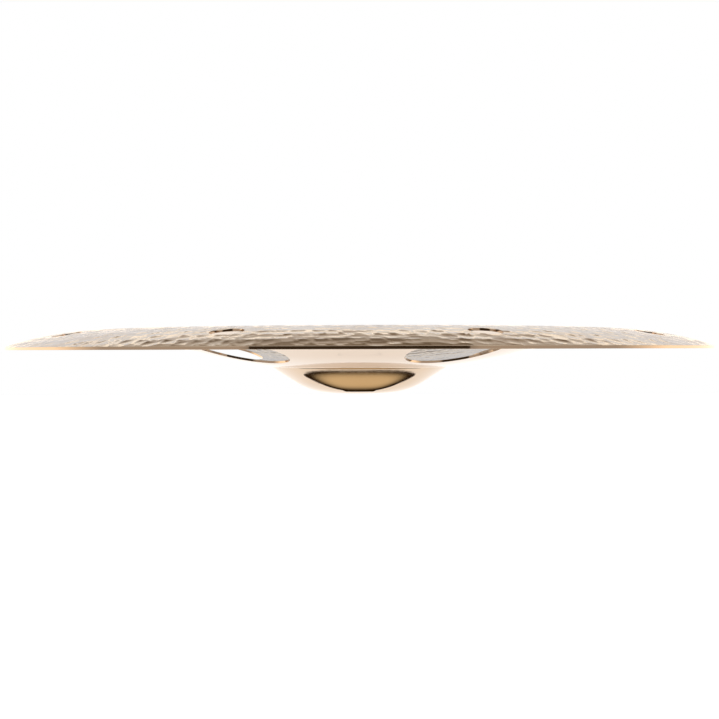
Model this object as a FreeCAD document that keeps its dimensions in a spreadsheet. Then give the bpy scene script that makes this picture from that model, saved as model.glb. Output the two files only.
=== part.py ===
import FreeCAD, Part
import math
import os
import Sketcher

# One spun sheet: a china cymbal with its bell down and its turned-back rim up.
# Millimetres, +Z up. The origin is the centre of the bore, on the outside face of the bell.
doc = FreeCAD.newDocument("cymbal")

# ---------------------------------------------------------------- values
# alias, value, what it is.  Angles are in degrees, lengths in millimetres.
VALUES = [
    ("outer_dia", 457.2, "diameter over the rim, 18 inch"),
    ("sheet_thk", 1.5, "thickness of the sheet"),
    ("bore_dia", 12.5, "hole for the stand rod"),
    ("crown_rad", 19.5, "flat crown of the bell, from the axis"),
    ("bell_rad", 43.5, "where the round of the bell meets its straight wall"),
    ("wall_rad", 59.8, "where the straight wall meets the hollow round"),
    ("bow_rad", 61.8, "start of the bow"),
    ("steep_rad", 103.0, "steepest ring of the bow"),
    ("fold_rad", 170.0, "end of the bow, start of the fold"),
    ("fold_end_rad", 174.9, "end of the fold, start of the flange"),
    ("wall_slope", 32.5, "slope of the bell wall"),
    ("bow_slope", 7.5, "slope of the bow at the bell"),
    ("steep_slope", 14.0, "slope of the bow at its steepest ring"),
    ("fold_slope", 9.6, "slope of the bow at the fold"),
    ("flange_slope", 3.0, "downward slope of the flange at the fold"),
    ("rim_slope", 19.5, "downward slope of the flange at the rim"),
    ("vent_count", 5, "large holes in the bow"),
    ("vent_dia", 61.2, "diameter of a large hole"),
    ("vent_pitch_rad", 110.3, "centres of the large holes, from the axis"),
    ("vent_turn", 31.1, "first large hole, turned from the front towards +X"),
    ("port_count", 10, "small holes in the flange"),
    ("port_dia", 17.0, "diameter of a small hole"),
    ("port_pitch_rad", 201.1, "centres of the small holes, from the axis"),
    ("port_turn", 17.5, "first small hole, turned from the front towards +X"),
]

sheet = doc.addObject("Spreadsheet::Sheet", "Values")
for row, (alias, number, note) in enumerate(VALUES, start=1):
    sheet.set("A%d" % row, alias)
    sheet.set("B%d" % row, str(number))
    sheet.set("C%d" % row, note)
    sheet.setAlias("B%d" % row, alias)
doc.recompute()


def value(alias):
    """The number that the sheet holds under this alias."""
    return float(getattr(sheet, alias))


# ---------------------------------------------------------------- section of the sheet
def arc_step(start, run, slope_in, slope_out):
    """End point, centre and radius of the arc that turns from one slope to the other over a run.

    The radius is signed: plus when the slope grows outwards, minus when it falls.
    """
    sine_in = math.sin(math.radians(slope_in))
    sine_out = math.sin(math.radians(slope_out))
    radius = run / (sine_out - sine_in)
    centre = (start[0] - radius * sine_in, start[1] + radius * math.cos(math.radians(slope_in)))
    end = (start[0] + run, centre[1] - radius * math.cos(math.radians(slope_out)))
    return end, centre, radius


def outer_face():
    """Corner points, and for each stretch between two of them its centre and signed radius.

    A straight stretch has no centre.
    """
    rim = value("outer_dia") / 2
    wall_slope = value("wall_slope")
    bow_slope = value("bow_slope")
    steep_slope = value("steep_slope")
    fold_slope = value("fold_slope")
    flange_slope = -value("flange_slope")
    rim_slope = -value("rim_slope")
    points = [(value("bore_dia") / 2, 0.0), (value("crown_rad"), 0.0)]
    stretches = [None]

    def add_arc(radius_at_end, slope_in, slope_out):
        run = radius_at_end - points[-1][0]
        end, centre, radius = arc_step(points[-1], run, slope_in, slope_out)
        points.append(end)
        stretches.append((centre, radius))

    add_arc(value("bell_rad"), 0.0, wall_slope)
    rise = (value("wall_rad") - value("bell_rad")) * math.tan(math.radians(wall_slope))
    points.append((value("wall_rad"), points[-1][1] + rise))
    stretches.append(None)
    add_arc(value("bow_rad"), wall_slope, bow_slope)
    add_arc(value("steep_rad"), bow_slope, steep_slope)
    add_arc(value("fold_rad"), steep_slope, fold_slope)
    add_arc(value("fold_end_rad"), fold_slope, flange_slope)
    add_arc(rim, flange_slope, rim_slope)
    slopes = [0.0, 0.0, wall_slope, wall_slope, bow_slope, steep_slope, fold_slope,
              flange_slope, rim_slope]
    return points, stretches, slopes


def shifted(point, slope, amount):
    """The point moved square to the sheet, from the outer face towards the inner face."""
    angle = math.radians(slope)
    return (point[0] - amount * math.sin(angle), point[1] + amount * math.cos(angle))


def height_on_arc(stretch, amount, distance):
    """Height of the arc's upper half, moved square to the sheet, at this distance from the axis."""
    centre, radius = stretch
    return centre[1] + math.sqrt((radius - amount) ** 2 - (distance - centre[0]) ** 2)


def vector(point):
    """A sketch vector from a pair of numbers."""
    return FreeCAD.Vector(point[0], point[1], 0)


def add_stretch(sketch, start, end, stretch, amount):
    """Add one line or arc of a face to the sketch; its number, and which end lies inwards."""
    if stretch is None:
        return sketch.addGeometry(Part.LineSegment(vector(start), vector(end)), False), 1, 2
    centre, radius = stretch
    circle = Part.Circle(vector(centre), FreeCAD.Vector(0, 0, 1), abs(radius - amount))
    angle_start = math.atan2(start[1] - centre[1], start[0] - centre[0])
    angle_end = math.atan2(end[1] - centre[1], end[0] - centre[0])
    if radius > 0:
        return sketch.addGeometry(Part.ArcOfCircle(circle, angle_start, angle_end), False), 1, 2
    return sketch.addGeometry(Part.ArcOfCircle(circle, angle_end, angle_start), False), 2, 1


def bind(sketch, kind, arguments, expression, number):
    """Add one measured constraint and tie it to the values in the sheet."""
    index = sketch.addConstraint(Sketcher.Constraint(kind, *arguments, number))
    sketch.setExpression("Constraints[%d]" % index, expression)


def origin_item(body, role):
    """The body's own base plane or axis with this role."""
    return [item for item in body.Origin.OriginFeatures if item.Role == role][0]


def add_sketch(body, name, role):
    """A new sketch lying on one of the body's own base planes."""
    sketch = body.newObject("Sketcher::SketchObject", name)
    sketch.AttachmentSupport = [(origin_item(body, role), "")]
    sketch.MapMode = "FlatFace"
    return sketch


def add_section(body):
    """The closed section of the sheet on the XZ plane: outer face, rim, inner face, bore."""
    sketch = add_sketch(body, "SheetSection", "XZ_Plane")
    points, stretches, slopes = outer_face()
    thickness = value("sheet_thk")
    inner = [shifted(point, slope, thickness) for point, slope in zip(points, slopes)]
    inner[-1] = (points[-1][0], height_on_arc(stretches[-1], thickness, points[-1][0]))
    faces = []
    for corners, amount in ((points, 0.0), (inner, thickness)):
        numbers = []
        for start, end, stretch in zip(corners[:-1], corners[1:], stretches):
            numbers.append(add_stretch(sketch, start, end, stretch, amount))
        for first, second in zip(numbers[:-1], numbers[1:]):
            sketch.addConstraint(
                Sketcher.Constraint("Tangent", first[0], first[2], second[0], second[1]))
        faces.append(numbers)
    outer, inside = faces
    bore = sketch.addGeometry(Part.LineSegment(vector(points[0]), vector(inner[0])), False)
    edge = sketch.addGeometry(Part.LineSegment(vector(points[-1]), vector(inner[-1])), False)
    for line, stretch_at, end in ((bore, 0, 1), (edge, -1, 2)):
        for corner, numbers in ((1, outer), (2, inside)):
            geometry = numbers[stretch_at]
            sketch.addConstraint(Sketcher.Constraint(
                "Coincident", line, corner, geometry[0], geometry[end]))
    sketch.addConstraint(Sketcher.Constraint("Vertical", bore))
    sketch.addConstraint(Sketcher.Constraint("Vertical", edge))
    sketch.addConstraint(Sketcher.Constraint("Horizontal", outer[0][0]))
    sketch.addConstraint(Sketcher.Constraint("PointOnObject", outer[0][0], 1, -1))
    for first, second, stretch in zip(outer, inside, stretches):
        if stretch is not None:
            sketch.addConstraint(Sketcher.Constraint("Coincident", first[0], 3, second[0], 3))
    bind(sketch, "DistanceY", (bore, 1, bore, 2), "Values.sheet_thk", thickness)
    bind(sketch, "DistanceX", (-1, 1, outer[0][0], 1), "Values.bore_dia / 2", points[0][0])
    stations = ["crown_rad", "bell_rad", "wall_rad", "bow_rad", "steep_rad", "fold_rad",
                "fold_end_rad"]
    for number, alias in enumerate(stations, start=1):
        bind(sketch, "DistanceX", (-1, 1, outer[number][0], outer[number][1]),
             "Values." + alias, points[number][0])
    bind(sketch, "DistanceX", (-1, 1, outer[-1][0], outer[-1][2]),
         "Values.outer_dia / 2", points[-1][0])
    return sketch, points


def add_hole_sketch(body, name, diameter_alias, radius_alias, turn_alias):
    """One round hole on the XY plane, at its distance and turn from the front of the sheet."""
    sketch = add_sketch(body, name, "XY_Plane")
    reach = value(radius_alias)
    turn = math.radians(value(turn_alias))
    centre = FreeCAD.Vector(reach * math.sin(turn), -reach * math.cos(turn), 0)
    radius = value(diameter_alias) / 2
    circle = sketch.addGeometry(Part.Circle(centre, FreeCAD.Vector(0, 0, 1), radius), False)
    bind(sketch, "Diameter", (circle,), "Values." + diameter_alias, 2 * radius)
    bind(sketch, "DistanceX", (-1, 1, circle, 3),
         "Values.%s * sin(Values.%s * 1deg)" % (radius_alias, turn_alias), centre.x)
    bind(sketch, "DistanceY", (circle, 3, -1, 1),
         "Values.%s * cos(Values.%s * 1deg)" % (radius_alias, turn_alias), -centre.y)
    return sketch


def add_ring_of_holes(body, name, sketch, count_alias):
    """Cut the hole straight up through the sheet and repeat it round the axis."""
    volume_before = body.Shape.Volume
    pocket = body.newObject("PartDesign::Pocket", name)
    pocket.Profile = sketch
    pocket.Type = "ThroughAll"
    pocket.Reversed = True
    doc.recompute()
    if not pocket.Shape.Volume < volume_before - 1:
        raise RuntimeError(name + " does not cut the sheet")
    pattern = body.newObject("PartDesign::PolarPattern", name + "Ring")
    pattern.Originals = [pocket]
    pattern.Axis = (origin_item(body, "Z_Axis"), [""])
    pattern.Angle = 360
    pattern.setExpression("Occurrences", "Values." + count_alias)
    body.Tip = pattern
    doc.recompute()


# ---------------------------------------------------------------- the sheet
body = doc.addObject("PartDesign::Body", "cymbal_sheet")
body.Label = "cymbal_sheet"
section, corner_points = add_section(body)
doc.recompute()
spin = body.newObject("PartDesign::Revolution", "SpunSheet")
spin.Profile = section
spin.ReferenceAxis = (section, ["V_Axis"])
spin.Angle = 360
doc.recompute()

vents = add_hole_sketch(body, "LargeHole", "vent_dia", "vent_pitch_rad", "vent_turn")
add_ring_of_holes(body, "LargeHoleCut", vents, "vent_count")
ports = add_hole_sketch(body, "SmallHole", "port_dia", "port_pitch_rad", "port_turn")
add_ring_of_holes(body, "SmallHoleCut", ports, "port_count")

for item in doc.Objects:
    if "Invalid" in item.State or "Error" in item.State:
        raise RuntimeError("%s did not recompute: %s" % (item.Name, item.State))
if body.Shape.isNull() or not body.Shape.isValid() or len(body.Shape.Solids) != 1:
    raise RuntimeError("the sheet is not one sound solid")

os.makedirs("parts", exist_ok=True)
body.Shape.exportStep(os.path.join("parts", body.Label + ".step"))
box = body.Shape.BoundBox
print("cymbal_sheet volume %.1f mm3" % body.Shape.Volume)
print("box %.2f %.2f %.2f to %.2f %.2f %.2f" % (
    box.XMin, box.YMin, box.ZMin, box.XMax, box.YMax, box.ZMax))
print("corner points", [(round(a, 2), round(b, 2)) for a, b in corner_points])
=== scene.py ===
import math

import bpy
import numpy as np
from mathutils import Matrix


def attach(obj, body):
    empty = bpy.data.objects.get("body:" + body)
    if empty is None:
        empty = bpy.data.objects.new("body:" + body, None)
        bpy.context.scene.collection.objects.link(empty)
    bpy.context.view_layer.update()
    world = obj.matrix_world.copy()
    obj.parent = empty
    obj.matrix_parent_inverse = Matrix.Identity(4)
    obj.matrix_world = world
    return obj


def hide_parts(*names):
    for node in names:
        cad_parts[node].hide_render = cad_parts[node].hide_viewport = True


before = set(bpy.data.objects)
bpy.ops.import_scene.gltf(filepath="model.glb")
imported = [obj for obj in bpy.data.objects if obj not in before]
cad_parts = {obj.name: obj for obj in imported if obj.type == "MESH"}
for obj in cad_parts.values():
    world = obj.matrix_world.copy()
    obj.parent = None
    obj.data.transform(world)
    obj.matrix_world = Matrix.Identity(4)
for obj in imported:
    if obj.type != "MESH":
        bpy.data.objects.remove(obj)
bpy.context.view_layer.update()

# ---------------------------------------------------------------- sizes, in metres
RIM = 0.2286
THICK = 0.0015
BORE = 0.00625
VENT_COUNT, VENT_R, VENT_REACH, VENT_TURN = 5, 0.0306, 0.1103, 31.1
PORT_COUNT, PORT_R, PORT_REACH, PORT_TURN = 10, 0.0085, 0.2011, 17.5
EDGE_ROUND = 0.00012
SEED = 11
# Stretches of the outside face: the reach at the end of each, and the slope there in degrees.
SECTION = (("flat crown", 0.0195, 0.0), ("round of the bell", 0.0435, 32.5),
           ("bell wall", 0.0598, 32.5), ("hollow round", 0.0618, 7.5),
           ("bow growing steeper", 0.103, 14.0), ("bow growing flatter", 0.170, 9.6),
           ("fold", 0.1749, -3.0), ("flange", RIM, -19.5))


# ---------------------------------------------------------------- section of the sheet
def chain():
    """Stretches of the outside face from the bore to the rim, as (start, end, centre, radius).

    Each arc turns from one slope to the next over its run. A straight stretch has no centre
    and gives its angle in place of the radius.
    """
    stretches = []
    here, angle_in = (BORE, 0.0), 0.0
    for _, reach, degrees in SECTION:
        angle = math.radians(degrees)
        if angle == angle_in:
            there = (reach, here[1] + (reach - here[0]) * math.tan(angle))
            stretches.append((here, there, None, angle))
        else:
            radius = (reach - here[0]) / (math.sin(angle) - math.sin(angle_in))
            centre = (here[0] - radius * math.sin(angle_in),
                      here[1] + radius * math.cos(angle_in))
            there = (reach, centre[1] - radius * math.cos(angle))
            stretches.append((here, there, centre, radius))
        here, angle_in = there, angle
    return stretches


CHAIN = chain()
RIM_HEIGHT = CHAIN[-1][1][1]
DISTANCE = 2.8 * RIM  # from the axis to the camera


def face_height(reach, depth):
    """Height and slope of the sheet at these distances from the axis.

    Depth 0 is the outside face and THICK the inside face: every arc keeps its centre and its
    radius changes by the depth, every straight stretch moves square to itself.
    """
    reach = np.asarray(reach, float)
    height = np.zeros_like(reach)
    tangent = np.zeros_like(reach)
    for number, (start, end, centre, bend) in enumerate(CHAIN):
        angle_in = bend if centre is None else math.asin((start[0] - centre[0]) / bend)
        angle_out = bend if centre is None else math.asin((end[0] - centre[0]) / bend)
        low = start[0] - depth * math.sin(angle_in) if number else -1.0
        high = end[0] - depth * math.sin(angle_out) if number < len(CHAIN) - 1 else 1.0
        inside = (reach >= low) & (reach < high)
        if centre is None:
            rise = start[1] + depth / math.cos(bend)
            height = np.where(inside, rise + (reach - start[0]) * math.tan(bend), height)
            tangent = np.where(inside, math.tan(bend), tangent)
            continue
        radius = bend - depth
        across = np.clip((reach - centre[0]) / abs(radius), -0.999, 0.999)
        fall = np.sqrt(1 - across ** 2)
        side = 1.0 if radius > 0 else -1.0
        height = np.where(inside, centre[1] - side * abs(radius) * fall, height)
        tangent = np.where(inside, side * across / fall, tangent)
    return height, tangent


# ---------------------------------------------------------------- hammer marks
MARK_GAP = 1.04                 # pitch along a ring over pitch between rings
MARK_KEPT = 0.93                # share of the marks that are struck
MARK_SIZES = (0.78, 1.18)       # least and most of the stated radius
MARK_DEPTHS = (0.45, 1.3)       # least and most of the stated depth


def mark_rows(first, last, pitch, size, depth, jitter, rng):
    """Hammer marks in rings round the axis: arrays of x, y, radius and depth.

    Rings are a pitch apart; marks on a ring are a pitch apart too, each pushed off its place
    by a small random part of the pitch. A few marks are left out.
    """
    found = []
    rings = max(1, int(round((last - first) / pitch)))
    for ring in range(rings + 1):
        reach = first + (last - first) * ring / rings
        count = int(round(2 * math.pi * reach / (pitch * MARK_GAP)))
        turn = rng.uniform(0, 2 * math.pi) + np.arange(count) * 2 * math.pi / count
        turn = turn + rng.normal(0, jitter, count) * pitch / reach
        away = reach + rng.normal(0, jitter, count) * pitch
        keep = rng.uniform(0, 1, count) < MARK_KEPT
        rows = np.stack([away * np.cos(turn), away * np.sin(turn),
                         size * rng.uniform(*MARK_SIZES, count),
                         depth * rng.uniform(*MARK_DEPTHS, count)], 1)
        found.append(rows[keep])
    return np.concatenate(found)


def press_marks(x, y, marks):
    """Depth pressed in at every point, and its two slopes.

    A mark is a shallow bowl, depth times one minus the squared distance over its radius; where
    bowls overlap the deepest one counts.
    """
    depth = np.zeros_like(x)
    slope_x = np.zeros_like(x)
    slope_y = np.zeros_like(x)
    order = np.argsort(x)
    sorted_x = x[order]
    for mark_x, mark_y, radius, deep in marks:
        low = np.searchsorted(sorted_x, mark_x - radius)
        high = np.searchsorted(sorted_x, mark_x + radius)
        near = order[low:high]
        near = near[np.abs(y[near] - mark_y) < radius]
        offset_x = x[near] - mark_x
        offset_y = y[near] - mark_y
        share = (offset_x ** 2 + offset_y ** 2) / radius ** 2
        bowl = deep * (1 - share)
        wins = bowl > depth[near]
        chosen = near[wins]
        depth[chosen] = bowl[wins]
        slope_x[chosen] = -2 * deep * offset_x[wins] / radius ** 2
        slope_y[chosen] = -2 * deep * offset_y[wins] / radius ** 2
    return depth, slope_x, slope_y


# ---------------------------------------------------------------- plan of the sheet
def hole_centres(count, reach, turn):
    """Centres of a ring of holes, the first one turned from the front towards +X."""
    angle = math.radians(turn) + np.arange(count) * 2 * math.pi / count
    return np.stack([reach * np.sin(angle), -reach * np.cos(angle)], 1)


VENTS = hole_centres(VENT_COUNT, VENT_REACH, VENT_TURN)
PORTS = hole_centres(PORT_COUNT, PORT_REACH, PORT_TURN)


def around(reach, angle):
    """Plan points at these distances and angles from the axis, angles counted from +X."""
    return np.stack(np.broadcast_arrays(reach * np.cos(angle), reach * np.sin(angle)), -1)


def strips(rows, closed):
    """Triangles of a grid whose first index runs outwards and whose second runs round."""
    here = rows if closed else rows[:, :-1]
    nxt = np.roll(rows, -1, 1) if closed else rows[:, 1:]
    one = np.stack([here[:-1], here[1:], nxt[1:]], -1)
    two = np.stack([here[:-1], nxt[1:], nxt[:-1]], -1)
    return np.concatenate([one.reshape(-1, 3), two.reshape(-1, 3)])


def grid_patch(places, closed):
    """A patch from a grid of plan points, shape (rows, points, 2)."""
    rows = np.arange(places.shape[0] * places.shape[1]).reshape(places.shape[:2])
    return places.reshape(-1, 2), strips(rows, closed)


def doubling_patch(inner, outer):
    """A ring patch whose outer circle has twice as many points as its inner one."""
    count = len(inner)
    first = np.arange(count)
    second = np.roll(first, -1)
    left = count + 2 * first
    middle = left + 1
    right = count + 2 * second
    faces = np.concatenate([np.stack([first, left, middle], -1),
                            np.stack([first, middle, second], -1),
                            np.stack([second, middle, right], -1)])
    return np.concatenate([inner, outer]), faces


def holed_ring(inner, outer, rows, count, centres, radius, half_steps, layers):
    """Patches of one ring of metal with a round hole in each of its even sectors.

    Round each hole a cell, half_steps grid steps to each side, is filled by easing its
    outline onto the hole: place = hole edge + share * (outline - hole edge). The rest of the
    ring is a plain polar grid.
    """
    step = 2 * math.pi / count
    reaches = np.linspace(inner, outer, rows + 1)
    sector = count // len(centres)
    shares = np.linspace(0, 1, layers + 1)[:, None, None] ** 1.15
    patches = []
    for centre in centres:
        middle = math.atan2(centre[1], centre[0])
        low, high = middle - half_steps * step, middle + half_steps * step
        arc = low + np.arange(2 * half_steps + 1) * step
        outline = np.concatenate([around(reaches[:-1], low), around(outer, arc[:-1]),
                                  around(reaches[:0:-1], high), around(inner, arc[:0:-1])])
        away = outline - centre
        edge = centre + radius * away / np.linalg.norm(away, axis=1)[:, None]
        patches.append(grid_patch(edge + shares * (outline - edge), True))
        rest = high + np.arange(sector - 2 * half_steps + 1) * step
        patches.append(grid_patch(around(reaches[:, None], rest[None, :]), False))
    return patches


def polar_ring(inner, outer, rows, count, turn_inner, turn_outer=None):
    """A plain ring patch; its grid may turn a little from its inner to its outer edge."""
    turn_outer = turn_inner if turn_outer is None else turn_outer
    share = np.linspace(0, 1, rows + 1)[:, None]
    reaches = inner + (outer - inner) * share
    turns = turn_inner + (turn_outer - turn_inner) * share * share * (3 - 2 * share)
    angle = turns + np.arange(count)[None, :] * 2 * math.pi / count
    return grid_patch(around(reaches, angle), True)


def weld(patches):
    """All patches as one set of plan points and triangles, shared points counted once."""
    places = np.concatenate([patch[0] for patch in patches])
    offsets = np.cumsum([0] + [len(patch[0]) for patch in patches[:-1]])
    faces = np.concatenate([patch[1] + offset for patch, offset in zip(patches, offsets)])
    keys = np.round(places * 1e7).astype(np.int64)
    _, first, inverse = np.unique(keys, axis=0, return_index=True, return_inverse=True)
    return places[first], inverse.ravel()[faces]


def face_plan(bell_rows, bow_rows, fold_rows, turn_rows, rim_rows):
    """Plan points and triangles of one face, from the bore to the rim.

    The grid doubles its points where the rings grow wide. Past the fold it is turned a little,
    so that the small holes lie on grid lines too.
    """
    vent_angle = math.radians(VENT_TURN) - math.pi / 2
    port_angle = math.radians(PORT_TURN) - math.pi / 2
    flange_step = math.radians(0.5)
    twist = (port_angle - vent_angle + flange_step / 2) % flange_step - flange_step / 2
    turned = vent_angle + twist
    bore = BORE + EDGE_ROUND
    rim = RIM - EDGE_ROUND
    # Distances from the axis at which one patch of the grid ends and the next begins, and the
    # width of the narrow rings in which the points double.
    doubling = 0.0012
    crown, bell = 0.0135, 0.029
    hollow_in, hollow_out = 0.0594, 0.0622
    vents_in, vents_out = 0.0745, 0.146
    fine_in, fold_in, fold_out = 0.1475, 0.167, 0.178
    ports_in, ports_out = 0.189, 0.2133
    middle_count = 360
    quarter, half, twice = middle_count // 4, middle_count // 2, 2 * middle_count
    patches = []

    def double(inner, outer, count):
        angle = vent_angle + np.arange(2 * count) * math.pi / count
        patches.append(doubling_patch(around(inner, angle[::2]), around(outer, angle)))

    def plain(inner, outer, rows, count, *turns):
        patches.append(polar_ring(inner, outer, rows, count, *turns))

    plain(bore, crown - doubling, 4, quarter, vent_angle)
    double(crown - doubling, crown, quarter)
    plain(crown, bell - doubling, 9, half, vent_angle)
    double(bell - doubling, bell, half)
    plain(bell, hollow_in, bell_rows, middle_count, vent_angle)
    plain(hollow_in, hollow_out, 5, middle_count, vent_angle)
    plain(hollow_out, vents_in, 3, middle_count, vent_angle)
    patches.extend(holed_ring(vents_in, vents_out, bow_rows, middle_count, VENTS,
                              VENT_R + EDGE_ROUND, half_steps=19, layers=9))
    double(vents_out, fine_in, middle_count)
    plain(fine_in, fold_in, fold_rows, twice, vent_angle)
    plain(fold_in, fold_out, turn_rows, twice, vent_angle, turned)
    plain(fold_out, ports_in, max(1, fold_rows // 2), twice, turned)
    patches.extend(holed_ring(ports_in, ports_out, 12, twice, PORTS, PORT_R + EDGE_ROUND,
                              half_steps=8, layers=4))
    plain(ports_out, rim, rim_rows, twice, turned)
    return weld(patches)


def edge_loops(places, faces):
    """Loops of points along the open edges of a face, the rim first, each anticlockwise."""
    sides = np.concatenate([faces[:, [0, 1]], faces[:, [1, 2]], faces[:, [2, 0]]])
    size = len(places)
    keys = sides.min(1) * size + sides.max(1)
    values, counts = np.unique(keys, return_counts=True)
    single = values[counts == 1]
    ends = np.unique(np.concatenate([single // size, single % size]))
    points = places[ends]
    reach = np.hypot(points[:, 0], points[:, 1])
    openings = [((0.0, 0.0), reach > RIM - 0.001), ((0.0, 0.0), reach < BORE + 0.001)]
    for centres, radius in ((VENTS, VENT_R), (PORTS, PORT_R)):
        for centre in centres:
            away = np.hypot(points[:, 0] - centre[0], points[:, 1] - centre[1])
            openings.append((tuple(centre), away < radius + 0.001))
    loops = []
    for number, (centre, mine) in enumerate(openings):
        turn = np.arctan2(points[mine, 1] - centre[1], points[mine, 0] - centre[0])
        loops.append((ends[mine][np.argsort(turn)], centre, 1.0 if number == 0 else -1.0))
    if sum(len(loop[0]) for loop in loops) != len(ends):
        raise RuntimeError("the plan has an open seam")
    return loops


# ---------------------------------------------------------------- the sheet as a mesh
def raised(plan, depth, marks):
    """Places and exact normals of one face: the section's height less the hammer marks."""
    reach = np.hypot(plan[:, 0], plan[:, 1])
    height, tangent = face_height(reach, depth)
    press, press_x, press_y = press_marks(plan[:, 0], plan[:, 1], marks)
    out = plan / reach[:, None]
    normal = np.column_stack([press_x - tangent * out[:, 0], press_y - tangent * out[:, 1],
                              np.ones(len(plan))])
    normal /= np.linalg.norm(normal, axis=1)[:, None]
    return np.column_stack([plan, height - press]), normal


def cut_edge(top, low, centre, sign):
    """Rings of points down a cut edge: a small round, the plain wall, a small round."""
    away = top[:, :2] - np.array(centre)
    away = sign * away / np.linalg.norm(away, axis=1)[:, None]
    rings = []
    for side, share in ((1.0, 0.5), (1.0, 1.0), (-1.0, 1.0), (-1.0, 0.5)):
        start = top if side > 0 else low
        angle = share * math.pi / 2
        push = EDGE_ROUND * math.sin(angle)
        drop = side * EDGE_ROUND * (1 - math.cos(angle))
        ring = np.column_stack([start[:, :2] + away * push, start[:, 2] - drop])
        normal = np.column_stack([away * math.sin(angle),
                                  np.full(len(start), side * math.cos(angle))])
        rings.append((ring, normal))
    return rings


def sheet_arrays():
    """Vertices, triangles and normals of the closed sheet."""
    rng = np.random.default_rng(SEED)
    upper_plan, upper_faces = face_plan(bell_rows=6, bow_rows=24, fold_rows=9, turn_rows=11,
                                        rim_rows=10)
    lower_plan, lower_faces = face_plan(bell_rows=14, bow_rows=24, fold_rows=3, turn_rows=5,
                                        rim_rows=3)
    flange_marks = mark_rows(first=0.1790, last=0.2225, pitch=0.0080, size=0.0046,
                             depth=0.00028, jitter=0.10, rng=rng)
    bow_marks = mark_rows(first=0.030, last=0.160, pitch=0.0086, size=0.0042,
                          depth=0.00005, jitter=0.22, rng=rng)
    none = np.zeros((0, 4))
    upper, upper_normal = raised(upper_plan, THICK, np.concatenate([flange_marks, bow_marks]))
    lower, lower_normal = raised(lower_plan, 0.0, none)
    vertices = [upper, lower]
    normals = [upper_normal, -lower_normal]
    faces = [upper_faces, lower_faces[:, ::-1] + len(upper)]
    total = len(upper) + len(lower)
    pairs = zip(edge_loops(upper_plan, upper_faces), edge_loops(lower_plan, lower_faces))
    for (top_loop, centre, sign), (low_loop, _, _) in pairs:
        layers = [top_loop]
        for ring, normal in cut_edge(upper[top_loop], lower[low_loop], centre, sign):
            vertices.append(ring)
            normals.append(normal)
            layers.append(np.arange(total, total + len(ring)))
            total += len(ring)
        layers.append(low_loop + len(upper))
        wall = strips(np.array(layers), True)
        faces.append(wall if sign > 0 else wall[:, ::-1])
    return np.concatenate(vertices), np.concatenate(faces), np.concatenate(normals)


def mesh_object(name, vertices, faces, normals):
    """One smooth mesh object from arrays, with its exact normals."""
    mesh = bpy.data.meshes.new(name)
    mesh.vertices.add(len(vertices))
    mesh.vertices.foreach_set("co", vertices.astype(np.float32).ravel())
    mesh.loops.add(faces.size)
    mesh.loops.foreach_set("vertex_index", faces.astype(np.int32).ravel())
    mesh.polygons.add(len(faces))
    mesh.polygons.foreach_set("loop_start", np.arange(0, faces.size, 3, dtype=np.int32))
    mesh.update(calc_edges=True)
    mesh.polygons.foreach_set("use_smooth", np.ones(len(faces), bool))
    mesh.normals_split_custom_set_from_vertices(normals.astype(np.float32))
    mesh.validate()
    item = bpy.data.objects.new(name, mesh)
    bpy.context.scene.collection.objects.link(item)
    return item


# ---------------------------------------------------------------- shader maths
class Socket:
    """A shader value; arithmetic on it adds Math nodes to the same material."""

    def __init__(self, tree, output):
        self.tree = tree
        self.output = output

    def _math(self, operation, first, second):
        return self.tree.node("ShaderNodeMath", {"operation": operation}, [first, second])

    def __add__(self, other):
        return self._math("ADD", self, other)

    __radd__ = __add__

    def __sub__(self, other):
        return self._math("SUBTRACT", self, other)

    def __rsub__(self, other):
        return self._math("SUBTRACT", other, self)

    def __mul__(self, other):
        return self._math("MULTIPLY", self, other)


class Tree:
    """The node tree of one material, or of the world."""

    def __init__(self, name, owner=None):
        self.material = owner or bpy.data.materials.new(name)
        self.material.use_nodes = True
        self.nodes = self.material.node_tree.nodes
        self.links = self.material.node_tree.links
        self.nodes.clear()

    def node(self, kind, settings=None, inputs=None, output=0):
        """Add a node: its settings first, then the values or links of its sockets."""
        node = self.nodes.new(kind)
        for name, value in (settings or {}).items():
            if name == "stops":
                elements = node.color_ramp.elements
                while len(elements) < len(value):
                    elements.new(0.5)
                for stop, (place, colour) in zip(elements, value):
                    stop.position = place
                    stop.color = colour
            else:
                setattr(node, name, value)
        pairs = inputs.items() if isinstance(inputs, dict) else enumerate(inputs or [])
        for key, value in pairs:
            if isinstance(value, Socket):
                self.links.new(value.output, node.inputs[key])
            else:
                node.inputs[key].default_value = value
        return Socket(self, node.outputs[output]) if len(node.outputs) else None


def grey(value):
    """A grey colour."""
    return (value, value, value, 1.0)


def solid(colour):
    """A colour with nothing clear in it."""
    return (*colour, 1.0)


def coordinates(tree, output):
    """One of the texture coordinates, and its three parts."""
    place = tree.node("ShaderNodeTexCoord", output=output)
    parts = tree.nodes.new("ShaderNodeSeparateXYZ")
    tree.links.new(place.output, parts.inputs[0])
    return place, [Socket(tree, parts.outputs[i]) for i in range(3)]


def noise(tree, place, scale, detail, roughness):
    """Noise about one half."""
    return tree.node("ShaderNodeTexNoise", {}, {"Vector": place, "Scale": scale,
                                                "Detail": detail, "Roughness": roughness})


def ramp(tree, value, stops):
    """The colour that the ramp holds at this value."""
    return tree.node("ShaderNodeValToRGB", {"stops": stops}, [value])


def mixed(tree, share, first, second):
    """The first colour at share 0, the second at share 1."""
    return tree.node("ShaderNodeMix", {"data_type": "RGBA"}, {0: share, 6: first, 7: second},
                     output=2)


def smooth_step(tree, value, low, high, at_low=0.0, at_high=1.0):
    """A soft step between two values."""
    return tree.node("ShaderNodeMapRange", {"interpolation_type": "SMOOTHSTEP"},
                     [value, low, high, at_low, at_high])


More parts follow.
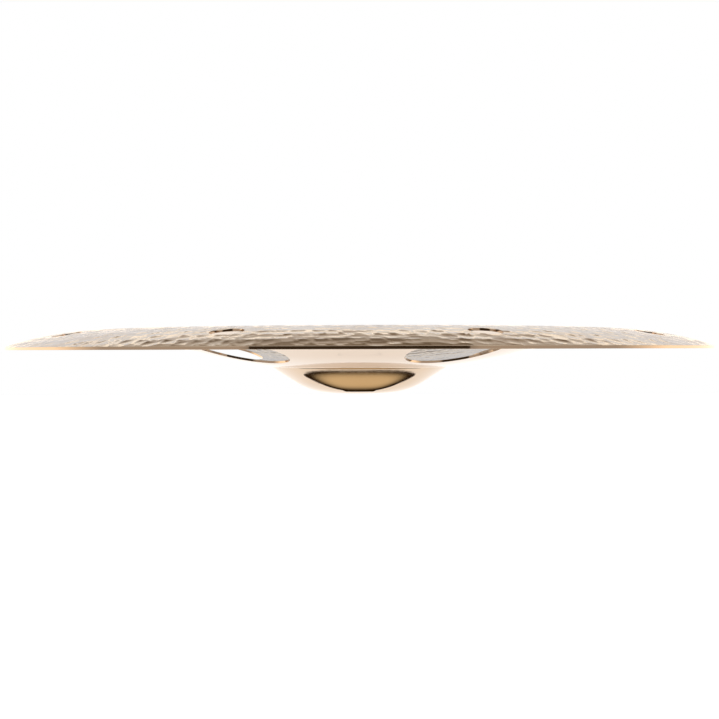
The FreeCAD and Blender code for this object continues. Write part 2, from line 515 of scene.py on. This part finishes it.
# The two faces of the sheet. Colours are those of the metal, except the hammered face's bow
# colour, a darker copy of its bronze that is painted shade over the inside of the bowl.
# cool_share says how much of the cool tone comes in. bow_step gives two distances from the
# axis and the share of the darker bow colour at each. rough_spread scales the change of
# roughness from place to place.
POLISHED = {
    "haze_scale": 9.0, "light": (0.66, 0.51, 0.38), "warm": (0.62, 0.47, 0.33),
    "cool": (0.62, 0.52, 0.435), "cool_share": 0.35, "bow": (0.54, 0.40, 0.28),
    "bow_step": (0.058, 0.068, 0.0, 0.75), "rough": 0.04, "rough_spread": 0.35,
    "line_depth": 0.000004}
HAMMERED = {
    "haze_scale": 34.0, "light": (0.73, 0.61, 0.47), "warm": (0.62, 0.48, 0.34),
    # bow: painted shade, a darker copy of the hammered bronze over the inside of the bowl
    "cool": (0.58, 0.55, 0.52), "cool_share": 0.75, "bow": (0.43, 0.39, 0.35),
    "bow_step": (0.135, 0.186, 1.0, 0.0), "rough": 0.12, "rough_spread": 1.0,
    "line_depth": 0.000012}
FLANGE_BOWLS = {"scale": 118.0, "randomness": 0.62, "depth": 0.00028}
BOW_BOWLS = {"scale": 190.0, "randomness": 0.9, "depth": 0.00030}


def bowls(tree, place, shape):
    """Small pressed bowls: depth times the squared distance to the nearest cell centre."""
    away = tree.node("ShaderNodeTexVoronoi", {"feature": "F1", "voronoi_dimensions": "2D"},
                     {"Vector": place, "Scale": shape["scale"],
                      "Randomness": shape["randomness"]})
    return away * away * shape["depth"]


def bronze(name, look):
    """Bell bronze, polished and clear outside, or hammered and turned inside.

    Turning lines run round the axis as noise on the distance from it. Tarnish and finger haze
    are slow noise. The bow is darker than the rest on both faces; on the hammered face that
    darker bow is painted shade over the inside of the bowl. The hammered face has small
    bowls, one size on the bow and a wider one from the fold outwards.
    """
    tree = Tree(name)
    place, (x, y, z) = coordinates(tree, "Object")
    reach = tree.node("ShaderNodeMath", {"operation": "SQRT"}, [x * x + y * y])
    angle = tree.node("ShaderNodeMath", {"operation": "ARCTAN2"}, [y, x])
    haze = noise(tree, place, look["haze_scale"], 4.0, 0.55)
    fine = noise(tree, place, 160.0, 5.0, 0.6)
    line_place = tree.node("ShaderNodeCombineXYZ", {}, [reach * 900.0, angle * 0.8, z * 4.0])
    lines = noise(tree, line_place, 1.0, 3.0, 0.7)
    band_place = tree.node("ShaderNodeCombineXYZ", {}, [reach * 130.0, angle * 0.5, 0.0])
    bands = noise(tree, band_place, 1.0, 2.0, 0.5)

    warmth = ramp(tree, haze, [(0.35, grey(0)), (0.68, grey(1))])
    tone = mixed(tree, warmth, solid(look["light"]), solid(look["warm"]))
    coolness = ramp(tree, bands, [(0.42, grey(0)), (0.75, grey(1))])
    tone = mixed(tree, coolness * look["cool_share"], tone, solid(look["cool"]))
    on_bow = smooth_step(tree, reach, *look["bow_step"])
    # On the hammered face this darker bow colour is painted shade over the inside of the bowl.
    tone = mixed(tree, on_bow, tone, solid(look["bow"]))

    change = (haze - 0.5) * 0.08 + (fine - 0.5) * 0.06 + (lines - 0.5) * 0.08
    rough = look["rough"] + change * look["rough_spread"]
    height = lines * look["line_depth"] + fine * 0.000002
    if look is HAMMERED:
        height = height + bowls(tree, place, FLANGE_BOWLS) * (1.0 - on_bow)
        height = height + bowls(tree, place, BOW_BOWLS) * on_bow
    bump = tree.node("ShaderNodeBump", {}, {"Strength": 1.0, "Distance": 1.0, "Height": height})
    surface = tree.node("ShaderNodeBsdfPrincipled", {},
                        {"Base Color": tone, "Metallic": 1.0, "Roughness": rough,
                         "Normal": bump})
    tree.node("ShaderNodeOutputMaterial", {}, [surface])
    return tree.material


# ---------------------------------------------------------------- build the sheet
sheet = mesh_object("cymbal_bronze", *sheet_arrays())
sheet.data.materials.append(bronze("polished_bronze", POLISHED))
sheet.data.materials.append(bronze("hammered_bronze", HAMMERED))
face_normals = np.zeros(len(sheet.data.polygons) * 3)
sheet.data.polygons.foreach_get("normal", face_normals)
# The faces that look up are the hammered side.
faces_up = face_normals.reshape(-1, 3)[:, 2] > 0.3
sheet.data.polygons.foreach_set("material_index", faces_up.astype(np.int32))
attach(sheet, "root")
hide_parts("cymbal_sheet")


# ---------------------------------------------------------------- studio
def board(corners):
    """Corners, face and spread of a plain flat card, the spread from -1 to 1 over both sides."""
    return corners, [(0, 1, 2, 3)], [(-1, -1, 0), (1, -1, 0), (1, 1, 0), (-1, 1, 0)]


def seen_in_bell(top, bottom, half_width, level):
    """A card below the sheet whose mirror image fills a bow-shaped patch on the bell's front.

    The patch lies between two distances from the axis. Its half width grows from the top edge
    like a rounded corner, is widest at about a quarter of the way down, and falls as a root to
    the lowest point. Each of its points is thrown down from the camera by the mirror law onto
    the level of the card.
    """
    rows, columns = 25, 25
    widest = 0.26
    down = np.linspace(0.0, 1.0, rows)[:, None] ** 1.6
    across = np.linspace(-1.0, 1.0, columns)[None, :]
    high, _ = face_height(np.array([bottom, top]), 0.0)
    reaches = np.linspace(bottom, top, 200)
    level_of, slope_of = face_height(reaches, 0.0)
    height = high[1] + (high[0] - high[1]) * down
    reach = np.interp(height, level_of, reaches)
    tangent = np.interp(height, level_of, slope_of)
    above_widest = np.clip(1.0 - down / widest, 0.0, 0.98)
    share = np.where(down < widest, (1.0 - above_widest ** 2) ** 0.2,
                     np.sqrt(np.clip((1.0 - down) / (1.0 - widest), 0.06, 1.0)))
    x = half_width * share * across
    y = -np.sqrt(reach ** 2 - x ** 2)
    flat = np.zeros_like(x)
    place = np.stack([x, y, height + flat], -1)
    normal = np.stack([tangent * x / reach, tangent * y / reach, flat - 1], -1)
    normal /= np.linalg.norm(normal, axis=-1)[..., None]
    ray = place - np.array([0.0, -DISTANCE, RIM_HEIGHT])
    ray /= np.linalg.norm(ray, axis=-1)[..., None]
    thrown = ray - 2 * (ray * normal).sum(-1)[..., None] * normal
    points = place + thrown * ((level - place[..., 2]) / thrown[..., 2])[..., None]
    spread = np.stack([across * abs(across) + flat, 2 * down - 1 + flat, flat], -1)
    grid = np.arange(rows * columns).reshape(rows, columns)
    faces = np.stack([grid[:-1, :-1], grid[1:, :-1], grid[1:, 1:], grid[:-1, 1:]], -1)
    return points.reshape(-1, 3), faces.reshape(-1, 4).tolist(), spread.reshape(-1, 3)


def card(name, shape, middle, border, fade=(0.15, 0.95)):
    """A glowing card that the camera does not see, one colour in its middle, another at its border.

    The spread runs from -1 to 1 across and along the card. The colour turns to the border's
    where either of its two parts comes close to one. Only a first mirror image shows the card.
    """
    corners, faces, places = shape
    mesh = bpy.data.meshes.new(name)
    mesh.from_pydata([tuple(corner) for corner in corners], [], faces)
    spread = mesh.attributes.new("spread", "FLOAT_VECTOR", "POINT")
    spread.data.foreach_set("vector", np.array(places, float).ravel())
    item = bpy.data.objects.new(name, mesh)
    bpy.context.scene.collection.objects.link(item)
    tree = Tree(name)
    parts = tree.nodes.new("ShaderNodeSeparateXYZ")
    place = tree.node("ShaderNodeAttribute", {"attribute_name": "spread"}, output=1)
    tree.links.new(place.output, parts.inputs[0])
    across = Socket(tree, parts.outputs[0])
    along = Socket(tree, parts.outputs[1])
    edge = 1.0 - (1.0 - across * across) * (1.0 - along * along)
    colour = mixed(tree, smooth_step(tree, edge, *fade), solid(middle), solid(border))
    glow = tree.node("ShaderNodeEmission", {}, {"Color": colour, "Strength": 1.0})
    depth = tree.node("ShaderNodeLightPath", output="Ray Depth")
    again = tree.node("ShaderNodeMath", {"operation": "GREATER_THAN"}, [depth, 1.5])
    clear = tree.node("ShaderNodeBsdfTransparent")
    both = tree.node("ShaderNodeMixShader", {}, [again, glow, clear])
    tree.node("ShaderNodeOutputMaterial", {}, [both])
    mesh.materials.append(tree.material)
    item.visible_camera = False
    item.visible_diffuse = False
    item.visible_shadow = False


def floor_sheet(level, reach):
    """A wide pale floor."""
    mesh = bpy.data.meshes.new("floor")
    mesh.from_pydata([(-reach, -reach, level), (reach, -reach, level), (reach, reach, level),
                      (-reach, reach, level)], [], [(0, 1, 2, 3)])
    item = bpy.data.objects.new("floor", mesh)
    bpy.context.scene.collection.objects.link(item)
    tree = Tree("pale_floor")
    place, _ = coordinates(tree, "Object")
    colour = ramp(tree, noise(tree, place, 2.0, 2.0, 0.5),
                  [(0.3, grey(0.93)), (0.7, grey(0.96))])
    paint = tree.node("ShaderNodeBsdfPrincipled", {}, {
        "Base Color": colour, "Roughness": 0.9, "Emission Color": grey(1.0),
        "Emission Strength": 0.42})
    tree.node("ShaderNodeOutputMaterial", {}, [paint])
    mesh.materials.append(tree.material)


# Brightness of the studio over the height of a direction: 0 is straight down, 0.5 is level
# and 1 is straight up.
SOFT_BOX = (0.93, (1.40, 1.38, 1.35))
BEHIND = ((0.50, (1.90, 1.66, 1.36)), (0.55, (1.80, 1.56, 1.28)), (0.58, (0.88, 0.86, 0.87)),
          (0.672, (0.76, 0.75, 0.76)), (0.680, (1.50, 1.36, 1.17)),
          (0.698, (1.50, 1.36, 1.17)), (0.706, (0.74, 0.71, 0.70)),
          (0.76, (0.52, 0.45, 0.38)), (0.81, (0.16, 0.115, 0.08)),
          (0.88, (0.34, 0.29, 0.24)), SOFT_BOX)
BESIDE = ((0.45, (0.66, 0.61, 0.57)), (0.55, (0.60, 0.56, 0.53)), (0.72, (0.62, 0.59, 0.57)),
          (0.88, (0.70, 0.68, 0.66)), SOFT_BOX)
FRONT = ((0.45, (0.60, 0.58, 0.56)), (0.50, (0.05, 0.04, 0.035)), (0.62, (0.06, 0.05, 0.04)),
         (0.72, (0.45, 0.42, 0.40)), (0.88, (0.60, 0.58, 0.55)), SOFT_BOX)


def studio_world():
    """Light all round: a pale sweep behind, dim grey sides, a dark front, a soft box overhead.

    Brightness is a ramp over the height of the direction. The ramps behind, beside and in
    front are mixed by how far the direction points away from the camera's side. The open
    background stays white for the camera.
    """
    world = bpy.data.worlds.new("studio")
    bpy.context.scene.world = world
    tree = Tree("studio", world)
    _, (_, y, z) = coordinates(tree, "Generated")
    height = z * 0.5 + 0.5
    forward = y * 0.5 + 0.5
    behind, beside, front = (
        ramp(tree, height, [(place, solid(colour)) for place, colour in table])
        for table in (BEHIND, BESIDE, FRONT))
    to_front = ramp(tree, forward, [(0.04, grey(1)), (0.09, grey(0))])
    to_back = ramp(tree, forward, [(0.42, grey(0)), (0.62, grey(1))])
    light = mixed(tree, to_back, mixed(tree, to_front, beside, front), behind)
    seen = tree.node("ShaderNodeLightPath")
    colour = mixed(tree, seen, light, grey(1.0))
    glow = tree.node("ShaderNodeBackground", {}, {"Color": colour, "Strength": 1.0})
    tree.node("ShaderNodeOutputWorld", {}, [glow])


def add_camera(rise, tilt, roll, lens):
    """The camera in front of the sheet: its rise over the rim, and turns in degrees."""
    data = bpy.data.cameras.new("camera")
    data.sensor_width = 36.0
    data.lens = lens
    camera = bpy.data.objects.new("camera", data)
    camera.location = (0.0, -DISTANCE, RIM_HEIGHT + rise)
    camera.rotation_euler = (math.radians(90.0 - tilt), math.radians(roll), 0.0)
    bpy.context.scene.collection.objects.link(camera)
    bpy.context.scene.camera = camera


SHADE = (0.06, 0.043, 0.027)
studio_world()
add_camera(rise=0.0002, tilt=0.65, roll=0.165, lens=46.77)
bpy.context.scene.view_settings.view_transform = "Standard"
floor_sheet(level=-0.6, reach=12.0)
card("camera_shade", board([(-0.53, -1.0, 0.45), (0.53, -1.0, 0.45), (0.53, -1.0, -0.25),
                            (-0.53, -1.0, -0.25)]), middle=SHADE, border=SHADE)
card("front_floor", board([(-2.4, -2.4, -0.56), (2.4, -2.4, -0.56), (2.4, 0.12, -0.56),
                           (-2.4, 0.12, -0.56)]),
     middle=(0.86, 0.80, 0.74), border=(0.34, 0.30, 0.27))
card("stand_shade", seen_in_bell(top=0.0583, bottom=0.0322, half_width=0.036, level=-0.20),
     middle=(0.93, 0.74, 0.45), border=(0.03, 0.015, 0.004), fade=(0.04, 0.75))
